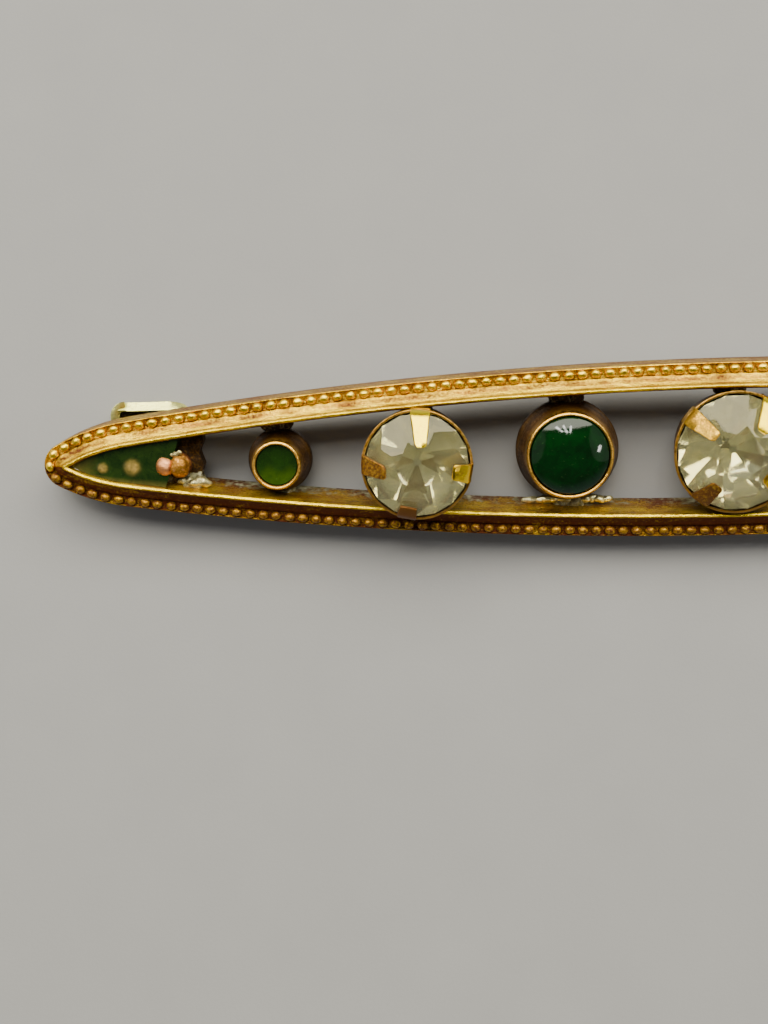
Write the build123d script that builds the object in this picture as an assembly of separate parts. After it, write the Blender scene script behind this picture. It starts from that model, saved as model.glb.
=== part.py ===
from build123d import *
from math import asin, atan2, cos, degrees, hypot, pi, radians, sin, sqrt, tan
import os

# Bar pin: a long openwork frame of two bowed rails that meet at blunt noses. Between the rails,
# from each end, stand an enamelled tip cell with three bosses, a small green dot in a cup, a
# clear paste in a claw collet and a green cabochon in a cup. The largest paste is in the middle.
# All sizes are in millimetres. The pin is drawn flat, with its back on z = 0, its front up and
# its middle at x = 0, and is rolled into its resting place at the end.

# Outline of the frame from the front
half_length = 30.8
half_width = 3.9
# half width that the side arcs would have at the very ends, if no nose rounded them off
end_half_width = 1.39
shoulder_radius = 9.0
nose_radius = 1.05

# Section of a rail, from the outer wall inwards
rail_width = 1.13
wall_height = 1.75
rail_height = 2.2
lip_width = 0.16
lip_rise = 0.1
lip_slope_width = 0.06
bead_radius = 0.215
bead_inset = 0.29
bead_sink = 0.04
bead_pitch = 0.6

# Tip cells: a plate with three bosses, and enamel laid round them
plate_length = 6.08
plate_bottom = 0.5
plate_top = 1.25
plate_lap = 0.3
boss_radius = 0.62
boss_height = 1.0
# share of a boss's free height and radius that rounds its top
boss_roundness = 0.42
# how far the bosses sit below the pin's long axis, towards the lower rail
boss_drop = 0.1
enamel_length = 5.03
enamel_top = 1.95
chip_depth = 0.75
break_depth = 0.3
# Bosses. Columns: place in from the tip of the cell as a share of the plate's length,
# radius as a share of boss_radius, height as a share of boss_height
bosses = (
    (0.25, 0.36, 0.74),
    (0.47, 0.56, 0.80),
    (0.765, 1.00, 1.00),
)
# Broken ends. Columns: place across as a share of half_width, set-back as a share of the depth
enamel_break = (
    (-1.0, 0.9),
    (-0.29, 1.0),
    (-0.16, 0.75),
    (0.0, 0.42),
    (0.14, 0.3),
    (0.3, 0.0),
    (1.0, 0.0),
)
plate_break = (
    (-1.0, 0.0),
    (-0.3, 0.0),
    (-0.17, 0.9),
    (-0.05, 0.35),
    (0.1, 1.0),
    (0.22, 0.3),
    (1.0, 0.2),
)

# Places of the cups and collets from the middle, as shares of half_length
dot_share = 0.656
side_paste_share = 0.4513
cabochon_share = 0.2338

# Cups of the small dots and the cabochons
dot_radius = 0.9
dot_base_radius = 1.46
dot_height = 2.15
dot_sink = 0.2
# how far the small cups sit below the pin's long axis, towards the lower rail
dot_drop = 0.15
cabochon_radius = 1.72
cabochon_base_radius = 2.31
cabochon_cup_height = 2.35
cabochon_side = 0.9
cabochon_dome = 0.42
cup_rim = 0.16
cup_foot_height = 0.7
cup_bottom = 0.2
cup_floor = 0.35

# Pastes and their collets
side_paste_radius = 2.22
side_paste_girdle = 3.6
centre_paste_radius = 2.5
centre_paste_girdle = 2.45
girdle_thickness = 0.14
table_share = 0.4
crown_angle = 33.0
girdle_facet_angle = 39.0
star_angle = 20.0
pavilion_angle = 38.0
lower_girdle_angle = 43.0
culet_radius = 0.25
collet_wall = 0.12
collet_taper = 0.35
collet_bottom = 0.2
collet_floor = 0.3
seat_width = 0.28
claw_width = 0.84
claw_tip_width = 0.46
claw_reach = 1.3
claw_thickness = 0.2
claw_root = 0.5
# share of a claw's tip width that is left square between its cut corners
claw_tip_square = 0.6
# Claws. Columns: direction in degrees anticlockwise from +x, share of claw_reach
side_claws = (
    (85.0, 0.97),
    (178.0, 0.7),
    (257.0, 0.35),
    (350.0, 0.52),
)
centre_claws = (
    (57.0, 0.92),
    (141.0, 0.9),
    (232.0, 0.7),
    (318.0, 0.85),
)

# Solder that joins the cups and collets to the rails
solder_width = 1.1
solder_bottom = 0.15
solder_top = 1.15
solder_lap = 0.35

# Findings on the back, behind the upper rail
finding_inset = 4.36
finding_across = 1.62
finding_radius = 0.88
finding_seat = 0.1
catch_length = 3.66
catch_thickness = 0.42
catch_corner = 0.72
catch_mouth_from = -12.0
catch_mouth_to = 96.0
hinge_length = 2.4
hinge_socket_depth = 1.9
stem_radius = 0.28
stem_bow = 1.45
# length along the pin of the sloping part of the bow, and of the level part beyond it
stem_run = 15.8
stem_straight = 3.6
stem_point_length = 1.6
stem_point_radius = 0.05
stem_bend_radius = 60.0

# Gaps between separate pieces
stone_gap = 0.04
enamel_gap = 0.03
claw_gap = 0.085
stem_gap = 0.05


# Places along the pin
dot_place = dot_share * half_length
side_paste_place = side_paste_share * half_length
cabochon_place = cabochon_share * half_length
finding_place = half_length - finding_inset


# Outline arcs
def meeting(first, first_radius, second, second_radius):
    """The left one of the two points where two circles cross."""
    apart = hypot(second[0] - first[0], second[1] - first[1])
    along = (first_radius**2 - second_radius**2 + apart**2) / (2 * apart)
    off = sqrt(first_radius**2 - along**2)
    ux = (second[0] - first[0]) / apart
    uy = (second[1] - first[1]) / apart
    foot = (first[0] + along * ux, first[1] + along * uy)
    crossings = [(foot[0] - s * off * uy, foot[1] + s * off * ux) for s in (1, -1)]
    return min(crossings)


side_sagitta = half_width - end_half_width
side_radius = (half_length**2 + side_sagitta**2) / (2 * side_sagitta)
side_centre = (0.0, half_width - side_radius)
nose_centre = (half_length - nose_radius, 0.0)
shoulder_centre = meeting(
    side_centre, side_radius - shoulder_radius, nose_centre, shoulder_radius - nose_radius
)
side_angle = atan2(shoulder_centre[1] - side_centre[1], shoulder_centre[0])
nose_angle = atan2(-shoulder_centre[1], nose_centre[0] - shoulder_centre[0])


def quarter_arcs(inset):
    """The arcs of the upper right quarter of the outline, moved in by inset, from tip to middle.

    Each one is (centre, radius, first angle, last angle). Inside the nose's centre the
    shoulder arcs of both rails meet in a sharp corner.
    """
    side = (side_centre, side_radius - inset, side_angle, pi / 2)
    shoulder_inner = shoulder_radius - inset
    if inset < nose_radius:
        shoulder = (shoulder_centre, shoulder_inner, nose_angle, side_angle)
        return [(nose_centre, nose_radius - inset, 0.0, nose_angle), shoulder, side]
    corner_angle = asin(-shoulder_centre[1] / shoulder_inner)
    return [(shoulder_centre, shoulder_inner, corner_angle, side_angle), side]


def on_arc(centre, radius, angle):
    return (centre[0] + radius * cos(angle), centre[1] + radius * sin(angle))


def arc_edge(centre, radius, first, last):
    middle = (first + last) / 2
    return ThreePointArc(*(on_arc(centre, radius, angle) for angle in (first, middle, last)))


def lens(inset, low, high):
    """The whole outline, moved in by inset, as a block from z = low to z = high."""
    quarter = [arc_edge(*arc) for arc in quarter_arcs(inset)]
    right = quarter + [mirror(edge, Plane.XZ) for edge in quarter]
    edges = right + [mirror(edge, Plane.YZ) for edge in right]
    return Pos(0, 0, low) * extrude(make_face(edges), high - low)


def opening_half_width(x):
    """Half the width of the opening between the rails, at x."""
    return side_centre[1] + sqrt((side_radius - rail_width) ** 2 - x**2)


def corner_of_opening():
    centre, radius, angle, _ = quarter_arcs(rail_width)[0]
    return on_arc(centre, radius, angle)[0]


def ring_of(points):
    """A turned solid about the z axis from (radius, height) points."""
    face = Plane.XZ * make_face(Polyline(*points, close=True))
    return revolve(face, Axis.Z)


def both_ends(shape):
    return [shape, mirror(shape, Plane.YZ)]


# Rails
band_start = bead_inset + bead_radius
lip_start = rail_width - lip_width
rail_section = (
    (0.0, 0.0),
    (0.0, wall_height),
    (band_start, wall_height),
    (lip_start - lip_slope_width, rail_height - lip_rise),
    (lip_start, rail_height),
    (rail_width, rail_height),
    (rail_width, 0.0),
)


def rail_sector(centre, radius, first, last):
    """The rail's section turned about one arc's centre. A nose's stops at its centre."""
    plane = Plane(
        origin=(centre[0], centre[1], 0),
        x_dir=(cos(first), sin(first), 0),
        z_dir=(sin(first), -cos(first), 0),
    )
    section = make_face(Polyline(*((radius - inset, z) for inset, z in rail_section), close=True))
    if radius < rail_width:
        section &= Pos(radius / 2, rail_height / 2) * Rectangle(radius, 2 * rail_height)
    return revolve(plane * section, Axis(plane.origin, (0, 0, 1)), degrees(last - first))


def bead_places():
    """Points at even steps along the whole bead line, one at each tip and one at each middle."""
    line = Wire([arc_edge(*arc) for arc in quarter_arcs(bead_inset)])
    count = round(line.length / bead_pitch)
    quarter = [line.position_at(k / count) for k in range(count + 1)]
    upper = quarter + [Vector(-p.X, p.Y) for p in quarter[:-1]]
    return upper + [Vector(p.X, -p.Y) for p in upper if p.Y > bead_radius]


def plain_rails():
    quarter = Solid.fuse(*(rail_sector(*arc).solid() for arc in quarter_arcs(0.0)))
    block = Box(
        half_length, half_width, 2 * rail_height, align=(Align.MIN, Align.MIN, Align.CENTER)
    )
    quarter = quarter & block
    half = quarter.fuse(mirror(quarter, Plane.XZ))
    return half.fuse(mirror(half, Plane.YZ))


def beads():
    return [Pos(p.X, p.Y, wall_height - bead_sink) * Sphere(bead_radius) for p in bead_places()]


# Tip cells
cell_tip = corner_of_opening()
plate_start = cell_tip - plate_length
enamel_start = cell_tip - enamel_length


def broken_end(start, depth, table):
    """A block over everything beyond start, whose near side is broken back as the table says."""
    edge = [(start + back * depth, across * half_width) for across, back in table]
    far = 2 * half_length
    outline = Polyline(*edge, (far, half_width), (far, -half_width), close=True)
    return Pos(0, 0, -rail_height) * extrude(make_face(outline), 3 * rail_height)


def boss(place, radius_share, height_share, gap=0.0):
    """A domed boss on the plate at the right, or the hole for it if a gap is given."""
    radius = boss_radius * radius_share + gap
    top = plate_top + boss_height * height_share
    foot = Cylinder(radius, top - plate_top, align=(Align.CENTER, Align.CENTER, Align.MIN))
    shape = Pos(cell_tip - place * plate_length, -boss_drop, plate_top) * foot
    if gap:
        return shape
    rim = shape.edges().filter_by(GeomType.CIRCLE).sort_by(Axis.Z)[-1]
    return fillet(rim, boss_roundness * min(radius, top - enamel_top + radius))


def tip_plate():
    """The plate of the right tip cell, soldered into the rails."""
    plate = lens(rail_width - plate_lap, plate_bottom, plate_top)
    plate &= broken_end(plate_start, break_depth, plate_break)
    foot = Pos(0, 0, -plate_lap)
    return [plate] + [boss(*row) for row in bosses] + [foot * boss(*row) for row in bosses]


def tip_enamel():
    """The enamel of the right tip cell, sunk below the lips."""
    enamel = lens(rail_width + enamel_gap, plate_top + enamel_gap, enamel_top)
    enamel &= broken_end(enamel_start, chip_depth, enamel_break)
    for row in bosses:
        enamel -= boss(*row, gap=enamel_gap)
    return enamel


# Cups
def cup(stone_radius, base_radius, top, floor):
    """A bezel cup whose wall leans in from its foot to its rim."""
    inner = stone_radius + stone_gap
    return ring_of((
        (0, cup_bottom),
        (base_radius, cup_bottom),
        (base_radius, cup_foot_height),
        (inner + cup_rim, top),
        (inner, top),
        (inner, floor),
        (0, floor),
    ))


def cabochon():
    """A flat-domed round glass that stands on its cup's floor."""
    low = cabochon_cup_height - cabochon_side
    edge = (cabochon_radius, cabochon_cup_height)
    crown = (0, cabochon_cup_height + cabochon_dome)
    rise = cabochon_dome
    dome_radius = (cabochon_radius**2 + rise**2) / (2 * rise)
    half_turn = asin(cabochon_radius / dome_radius) / 2
    between = (
        dome_radius * sin(half_turn),
        crown[1] - dome_radius * (1 - cos(half_turn)),
    )
    outline = Polyline(crown, (0, low), (cabochon_radius, low), edge)
    outline += ThreePointArc(edge, between, crown)
    return revolve(Plane.XZ * make_face(outline), Axis.Z)


def dot():
    """A small green disc, sunk in its cup."""
    low = cup_bottom + cup_floor + stone_gap
    high = dot_height - dot_sink
    return ring_of(((0, low), (dot_radius, low), (dot_radius, high), (0, high)))


# Pastes
def facet(stone, azimuth, distance, height, slope):
    """Cut one facet: a plane that faces the azimuth and passes through (distance, height)."""
    turn = radians(azimuth)
    out = sin(radians(slope))
    up = cos(radians(slope))
    plane = Plane(
        origin=(distance * cos(turn), distance * sin(turn), height),
        z_dir=(out * cos(turn), out * sin(turn), up),
    )
    return split(stone, bisect_by=plane, keep=Keep.BOTTOM)


def girdle_corner(radius):
    return radius / cos(pi / 16)


def crown_rise(radius):
    return (girdle_corner(radius) - table_share * radius) * tan(radians(crown_angle))


def pavilion_depth(radius):
    return (girdle_corner(radius) - culet_radius) * tan(radians(pavilion_angle))


def paste(radius):
    """A round brilliant with its girdle at z = 0: a table and 8 stars, 8 mains and 16 facets."""
    corner = girdle_corner(radius)
    half = girdle_thickness / 2
    high = half + crown_rise(radius)
    low = -half - pavilion_depth(radius)
    stone = Pos(0, 0, low) * extrude(RegularPolygon(corner, 16), high - low)
    star_distance = table_share * radius * cos(pi / 8)
    for k in range(8):
        stone = facet(stone, 45 * k, corner, half, crown_angle)
        stone = facet(stone, 45 * k, corner, -half, 180 - pavilion_angle)
        stone = facet(stone, 45 * k + 22.5, star_distance, high, star_angle)
    for k in range(16):
        azimuth = 22.5 * k + 11.25
        stone = facet(stone, azimuth, radius, half, girdle_facet_angle)
        stone = facet(stone, azimuth, radius, -half, 180 - lower_girdle_angle)
    return stone.solid()


def claw(radius, direction, reach_share):
    """A flat tapered claw that rises from the collet's ring and lies on the crown."""
    corner = girdle_corner(radius)
    inner = corner + stone_gap
    outer = inner + collet_wall
    tip = radius - claw_reach * reach_share
    slope = tan(radians(crown_angle))
    upright = claw_thickness / cos(radians(crown_angle))
    shoulder = corner - claw_gap

    def under(distance):
        return girdle_thickness / 2 + claw_gap + (corner - distance) * slope

    outline = Polyline(
        (inner, -claw_root),
        (outer, -claw_root),
        (outer, under(outer) + claw_gap),
        (shoulder, under(shoulder) + upright),
        (tip + claw_thickness / 2, under(tip) + upright - claw_thickness * slope / 2),
        (tip, under(tip) + upright / 2),
        (tip, under(tip)),
        (inner, under(inner)),
        close=True,
    )
    bent = extrude(Plane.XZ * make_face(outline), claw_width, both=True)
    half = claw_width / 2
    half_tip = half - reach_share * (claw_width - claw_tip_width) / 2
    square = claw_tip_square * half_tip
    cut = tip + half_tip - square
    plan = Polyline(
        (tip, -square),
        (cut, -half_tip),
        (corner, -half),
        (2 * corner, -half),
        (2 * corner, half),
        (corner, half),
        (cut, half_tip),
        (tip, square),
        close=True,
    )
    tall = 4 * radius
    tapered = bent & Pos(0, 0, -tall / 2) * extrude(make_face(plan), tall)
    return Rot(0, 0, direction) * tapered


def collet(radius, girdle, claws):
    """A hollow cone that carries a paste's girdle on its seat, with four claws."""
    corner = girdle_corner(radius)
    inner = corner + stone_gap
    outer = inner + collet_wall
    seat_top = -girdle_thickness / 2 - stone_gap
    seat_low = seat_top - (seat_width + stone_gap) * tan(radians(lower_girdle_angle)) - stone_gap
    low = collet_bottom - girdle
    base = outer - collet_taper
    ring = ring_of((
        (0, low),
        (base, low),
        (outer, girdle_thickness / 2),
        (inner, girdle_thickness / 2),
        (inner, seat_top),
        (inner - seat_width, seat_low),
        (base - seat_width, low + collet_floor),
        (0, low + collet_floor),
    ))
    return [Pos(0, 0, girdle) * shape for shape in [ring] + [claw(radius, *row) for row in claws]]


# Findings
def solder(place, reach, drop=0.0):
    """Two lumps of solder that join a cup at place to both rails."""
    far = opening_half_width(place) + solder_lap
    lumps = []
    for near, end in ((reach - solder_lap - drop, far), (solder_lap - reach - drop, -far)):
        block = Box(solder_width, abs(end - near), solder_top - solder_bottom)
        lumps.append(Pos(place, (near + end) / 2, (solder_bottom + solder_top) / 2) * block)
    return lumps


finding_height = finding_seat - finding_radius


def catch():
    """A strip curled into a C under the left end, its mouth and lip beyond the upper rail.

    Its outer end is closed by a wall that runs round the corner of the lip.
    """
    ring = Circle(finding_radius) - Circle(finding_radius - catch_thickness)
    reach = 3 * finding_radius
    angles = [catch_mouth_from + k * (catch_mouth_to - catch_mouth_from) / 3 for k in range(4)]
    mouth = Polyline(
        (0, 0), *((reach * cos(radians(a)), reach * sin(radians(a))) for a in angles), close=True
    )
    section = Plane.YZ * (Pos(finding_across, finding_height) * (ring - make_face(mouth)))
    strip = Pos(-finding_place, 0, 0) * extrude(section, catch_length / 2, both=True)
    across = 2 * finding_radius
    plan = RectangleRounded(catch_length, across, catch_corner)
    inside = RectangleRounded(
        catch_length - 2 * catch_thickness,
        across - 2 * catch_thickness,
        catch_corner - catch_thickness,
    )
    tall = 2 * across
    place = Pos(-finding_place, finding_across, -tall / 2)
    strip &= place * extrude(plan, tall)
    lip_low = finding_radius * sin(radians(catch_mouth_from))
    end = Pos(-catch_length / 2, 0, 0) * Rectangle(2 * catch_corner, across)
    wall = place * extrude((plan - inside) & end, tall)
    wall &= Pos(-finding_place, finding_across, finding_height) * (
        Rot(0, 90, 0) * Cylinder(finding_radius, catch_length)
    )
    wall &= Pos(-finding_place, finding_across, finding_height + lip_low - across / 2) * Box(
        catch_length, across, across
    )
    return strip + wall


def hinge():
    """A plain barrel under the right end, with a socket for the stem."""
    barrel = Cylinder(finding_radius, hinge_length)
    socket = Cylinder(stem_radius + stem_gap, hinge_length)
    turned = Rot(0, 90, 0) * (barrel - Pos(0, 0, hinge_socket_depth - hinge_length) * socket)
    return Pos(finding_place, finding_across, finding_height) * turned


def stem():
    """The pin's wire: it starts in the hinge, bows behind the upper rail and ends in the catch."""
    start = finding_place - hinge_length / 2 + hinge_socket_depth - stem_gap
    end = -finding_place - catch_length / 2 + catch_thickness + stem_gap
    bend = finding_place - stem_straight
    level = bend - stem_run
    bowed = finding_across + stem_bow
    points = (
        (start, finding_across),
        (bend, finding_across),
        (level, bowed),
        (-level, bowed),
        (-bend, finding_across),
        (end + stem_point_length, finding_across),
    )
    path = FilletPolyline(*points, radius=stem_bend_radius)
    section = Plane(origin=(start, finding_across, 0), z_dir=(-1, 0, 0)) * Circle(stem_radius)
    wire = sweep(section, path)
    foot = (Align.CENTER, Align.CENTER, Align.MIN)
    cone = Cone(stem_radius, stem_point_radius, stem_point_length, align=foot)
    point = Pos(end + stem_point_length, finding_across, 0) * Rot(0, -90, 0) * cone
    return Pos(0, 0, finding_height) * (wire + point)


# The whole pin, drawn flat
def frame():
    """All the gilt metal of the front, the cups, the collets and the findings, as one solid."""
    parts = []
    parts += both_ends_of(tip_plate())
    dot_cup = cup(dot_radius, dot_base_radius, dot_height, cup_bottom + cup_floor)
    parts += both_ends(Pos(dot_place, -dot_drop, 0) * dot_cup)
    parts += both_ends_of(solder(dot_place, dot_base_radius, dot_drop))
    glass_floor = cabochon_cup_height - cabochon_side - stone_gap
    glass_cup = cup(cabochon_radius, cabochon_base_radius, cabochon_cup_height, glass_floor)
    parts += both_ends(Pos(cabochon_place, 0, 0) * glass_cup)
    parts += both_ends_of(solder(cabochon_place, cabochon_base_radius))
    side_collet = collet(side_paste_radius, side_paste_girdle, side_claws)
    parts += both_ends_of([Pos(-side_paste_place, 0, 0) * shape for shape in side_collet])
    parts += both_ends_of(solder(side_paste_place, side_paste_radius - collet_taper))
    parts += collet(centre_paste_radius, centre_paste_girdle, centre_claws)
    parts += solder(0.0, centre_paste_radius - collet_taper)
    parts += [catch(), hinge()]
    parts += beads()
    return plain_rails().fuse(*(solid for part in parts for solid in part.solids()))


def both_ends_of(shapes):
    return [copy for shape in shapes for copy in both_ends(shape)]


def pieces():
    """Every piece of the pin by name, drawn flat."""
    side_paste = Pos(-side_paste_place, 0, side_paste_girdle) * (
        Rot(0, 0, side_claws[0][0]) * paste(side_paste_radius)
    )
    centre_paste = Pos(0, 0, centre_paste_girdle) * (
        Rot(0, 0, centre_claws[0][0]) * paste(centre_paste_radius)
    )
    named = {"frame": frame(), "paste_centre": centre_paste, "pin_stem": stem()}
    pairs = {
        "paste": side_paste,
        "cabochon": Pos(-cabochon_place, 0, 0) * cabochon(),
        "dot": Pos(-dot_place, -dot_drop, 0) * dot(),
        "tip_enamel": mirror(tip_enamel(), Plane.YZ),
    }
    for name, shape in pairs.items():
        named[name + "_left"] = shape
        named[name + "_right"] = mirror(shape, Plane.YZ)
    return named


# Resting place: the pin leans on the back edge of its lower rail, its catch and its hinge
lean_run = finding_across + half_width
lean_reach = hypot(lean_run, finding_height)
lean = degrees(atan2(-finding_height, lean_run) + asin(finding_radius / lean_reach))
rolled = {name: Rot(lean, 0, 0) * shape for name, shape in pieces().items()}
box = Compound(children=[shape.solid() for shape in rolled.values()]).bounding_box()
settle = Pos(-box.center().X, -box.center().Y, -box.min.Z)

os.makedirs("parts", exist_ok=True)
for name, shape in rolled.items():
    export_step((settle * shape).solid(), f"parts/{name}.step")
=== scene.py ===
import random
from math import (
    asin, atan2, copysign, cos, exp, hypot, pi, radians, sin, sqrt, tan,
)

import bmesh
import bpy
from mathutils import Matrix, Vector, noise


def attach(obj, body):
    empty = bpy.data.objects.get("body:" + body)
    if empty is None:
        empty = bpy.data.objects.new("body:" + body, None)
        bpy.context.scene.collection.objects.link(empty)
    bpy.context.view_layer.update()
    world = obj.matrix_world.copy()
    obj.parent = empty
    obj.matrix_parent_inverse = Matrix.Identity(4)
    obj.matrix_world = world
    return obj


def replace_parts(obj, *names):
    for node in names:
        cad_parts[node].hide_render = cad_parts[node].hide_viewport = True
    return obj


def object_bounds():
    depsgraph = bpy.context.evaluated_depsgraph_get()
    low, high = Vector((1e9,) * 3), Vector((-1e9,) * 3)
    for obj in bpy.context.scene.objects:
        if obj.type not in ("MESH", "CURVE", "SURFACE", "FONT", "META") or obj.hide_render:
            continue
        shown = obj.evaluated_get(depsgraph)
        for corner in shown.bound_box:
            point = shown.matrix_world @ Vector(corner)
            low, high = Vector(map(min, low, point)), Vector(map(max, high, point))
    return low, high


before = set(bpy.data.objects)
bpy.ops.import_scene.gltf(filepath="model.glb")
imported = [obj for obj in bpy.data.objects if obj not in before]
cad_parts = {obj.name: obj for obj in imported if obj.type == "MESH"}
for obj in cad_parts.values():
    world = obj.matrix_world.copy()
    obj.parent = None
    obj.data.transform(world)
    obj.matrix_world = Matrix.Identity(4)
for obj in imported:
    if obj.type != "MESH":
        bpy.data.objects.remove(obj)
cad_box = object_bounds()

# The pin is worked out flat, in millimetres, with its back on z = 0 and its front up, as it is
# in the solids, and is rolled into its resting place by the matrix REST.
MM = 0.001
# Faces of metal that meet at a larger angle keep a crisp edge between them
SHARP_EDGE = radians(42)
# Points nearer than this, in metres, are joined. The coarse weld is for the turned shapes, whose
# points crowd round the tiny hole on their axis
WELD = 1e-7
COARSE_WELD = 1e-6
AXIS_HOLE = 0.01

# Outline and rails
HALF_LENGTH = 30.8
HALF_WIDTH = 3.9
END_HALF_WIDTH = 1.39
SHOULDER_RADIUS = 9.0
NOSE_RADIUS = 1.05
RAIL_WIDTH = 1.13
WALL_HEIGHT = 1.75
RAIL_STEP = 0.1
NOSE_STEP = 0.035
BEAD_INSET = 0.29
BEAD_PITCH = 0.6
BEAD_HEIGHT = 1.7
# Radii of a bead along the rail, across it and upwards
BEAD_RADII = (0.268, 0.214, 0.235)
BEAD_SIZES = (0.93, 1.0)
BEAD_PROPORTIONS = (0.96, 1.0)
BEAD_SHIFT = 0.018
# Columns: grime, extra grime of the skirt as painted shade, height where the skirt begins, wear
# of the top as a painted highlight. The lower row's greater grime is painted shade too
UPPER_BEADS = (0.0, 0.5, 0.07, 1.2)
LOWER_BEADS = (0.72, 0.6, 0.11, 0.1)
BEAD_SKIRT = 0.12
BEAD_TOP = 0.08
BEAD_SIDE_WEAR = 0.1
# Section of a rail. Columns: inset from the outline, height, then grime and wear of the upper
# rail, and grime and wear of the lower rail. The grime is also painted shade: the dark edge under
# the upper lip and the dark lower rail, which faces away from the light. The wear is also painted
# highlight: the lit part of the upper band and the bright lines along both lips
RAIL_SECTION = (
    (0.05, 0, 0.8, 0, 0.8, 0),
    (0.014, 0.05, 0.8, 0, 0.8, 0),
    (0.014, 0.45, 0.7, 0, 0.8, 0),
    (0.014, 0.9, 0.6, 0, 0.8, 0),
    (0.014, 1.35, 0.6, 0, 0.9, 0),
    (0.014, 1.66, 0.55, 0, 0.9, 0),
    (0.03, 1.715, 0.35, 0.1, 0.8, 0),
    (0.062, 1.73, 0.3, 0.2, 0.7, 0),
    (0.088, 1.705, 0.4, 0, 0.8, 0),
    (0.12, 1.64, 0.35, 0, 0.9, 0),
    (0.29, 1.61, 0.45, 0, 0.9, 0),
    (0.47, 1.65, 0.35, 0, 0.9, 0),
    (0.505, 1.725, 0.35, 0.1, 1.1, 0),
    (0.53, 1.765, 0.2, 0.3, 1.1, 0),
    (0.57, 1.79, 0.35, 0.2, 1.1, 0),
    (0.65, 1.835, 0.55, 0, 1.1, 0),
    (0.74, 1.89, 0.45, 0, 1, 0),
    (0.82, 1.96, 0, 0.6, 1, 0),
    (0.87, 2.01, 0.15, 0.5, 1.1, 0),
    (0.9, 2.04, 0.55, 0.1, 1.1, 0),
    (0.92, 2.08, 0.2, 0.6, 1, 0),
    (0.945, 2.145, 0, 1, 0.6, 0.1),
    (0.975, 2.185, 0, 1, 0.2, 0.4),
    (1.005, 2.2, 0, 1, 0, 0.8),
    (1.03, 2.195, 0, 0.8, 0, 1),
    (1.065, 2.175, 0.3, 0.4, 0, 1),
    (1.1, 2.15, 0.8, 0, 0, 1),
    (1.122, 2.11, 1, 0, 0.1, 0.5),
    (1.132, 2.03, 1, 0, 0.4, 0.1),
    (1.165, 1.86, 0.9, 0, 0.35, 0),
    (1.2, 1.6, 0.8, 0, 0.4, 0),
    (1.25, 1.25, 0.7, 0, 0.5, 0),
    (1.3, 0.9, 0.7, 0, 0.6, 0),
    (1.36, 0.45, 0.8, 0, 0.8, 0),
    (1.42, 0.05, 0.8, 0, 0.8, 0),
    (1.39, 0, 0.8, 0, 0.8, 0),
    (0.7, 0, 0.8, 0, 0.8, 0),
)
# Parts of the section: the outer wall is left smooth and its grime is even, and the inner wall
# may be stained by solder
SMOOTH_INSET = 0.02
EVEN_INSET = 0.05
EVEN_SHARE = 0.4
INNER_WALL_INSET = 1.1
# Dents of the rails. Columns: size, depth, seed
RAIL_DENTS = ((1.3, 0.01, 0.0), (0.25, 0.004, 3.0))
# Broad patches of grime, and streaks of it along the rail
PATCH_SIZE = 1.5
PATCH_GRIME = 0.35
PATCH_SHIFT = Vector((9, 3, 1))
STREAK_SIZES = (0.9, 0.3, 0.3)
STREAK_GRIME = 0.4
LEAST_GRIME_AND_SHADE = -0.2

# Tip cells
PLATE_LENGTH = 6.08
PLATE_BOTTOM = 0.5
PLATE_TOP = 1.25
ENAMEL_LENGTH = 5.03
ENAMEL_TOP = 1.95
ENAMEL_GAP = 0.03
CHIP_DEPTH = 0.75
BREAK_DEPTH = 0.3
BOSS_RADIUS = 0.62
BOSS_DROP = 0.1
# Bosses. Columns: place in from the tip as a share of PLATE_LENGTH, share of BOSS_RADIUS, top
BOSSES = ((0.25, 0.36, 1.99), (0.47, 0.56, 2.05), (0.765, 1.0, 2.25))
# The bare boss has two lumps. Columns: shift towards the tip, radius, top, brownness
KNOBS = ((0.33, 0.46, 2.16, 0.0), (-0.33, 0.5, 2.25, 1.0))
# Broken ends. Columns: place across as a share of HALF_WIDTH, set-back as a share of the depth
ENAMEL_BREAK = (
    (-1.0, 0.9), (-0.29, 1.0), (-0.16, 0.75), (0.0, 0.42), (0.14, 0.3), (0.3, 0.0), (1.0, 0.0),
)
PLATE_BREAK = (
    (-1.0, 0.0), (-0.3, 0.0), (-0.17, 0.9), (-0.05, 0.35), (0.1, 1.0), (0.22, 0.3), (1.0, 0.2),
)
# A slab's grid of points: along it, crowded towards the tip, and across it
SLAB_GRID = (90, 41)
SLAB_CROWDING = 1.2
# The enamel dips between the rails, ripples, rises over the small bosses and narrows downwards
ENAMEL_DIP = 0.05
ENAMEL_RIPPLE = 0.03
ENAMEL_RISE = 0.09
ENAMEL_FLARE = 0.1
# How tall the bare boss's lumps are drawn, as a share of the ball they are made from
KNOB_SQUASH = 0.6

# Places along the pin, and the cups
DOT_PLACE = 0.656 * HALF_LENGTH
PASTE_PLACE = 0.4513 * HALF_LENGTH
CABOCHON_PLACE = 0.2338 * HALF_LENGTH
DOT_RADIUS = 0.9
DOT_FOOT = 1.46
DOT_TOP = 2.15
DOT_DROP = 0.15
CABOCHON_RADIUS = 1.72
CABOCHON_FOOT = 2.31
CABOCHON_TOP = 2.35
CABOCHON_DOME = 0.42
CABOCHON_SIDE = 0.9
CUP_RIM = 0.16
CUP_FOOT_TOP = 0.7
CUP_BOTTOM = 0.2
CUP_FLOOR = 0.35
DOT_SINK = 0.2
DOT_DISH = 0.09
DOT_STEPS = 16
DOME_STEPS = 24
DOME_EASE = 0.03
STONE_GAP = 0.04
# Dents of turned shapes, and how much painted shade they gain and how much wear and painted
# highlight they lose on their lower side, away from the light
TURNED_DENTS = 0.9
LOWER_SIDE_SHADE = 0.45
LOWER_SIDE_HIGHLIGHT_LOSS = 0.5
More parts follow.
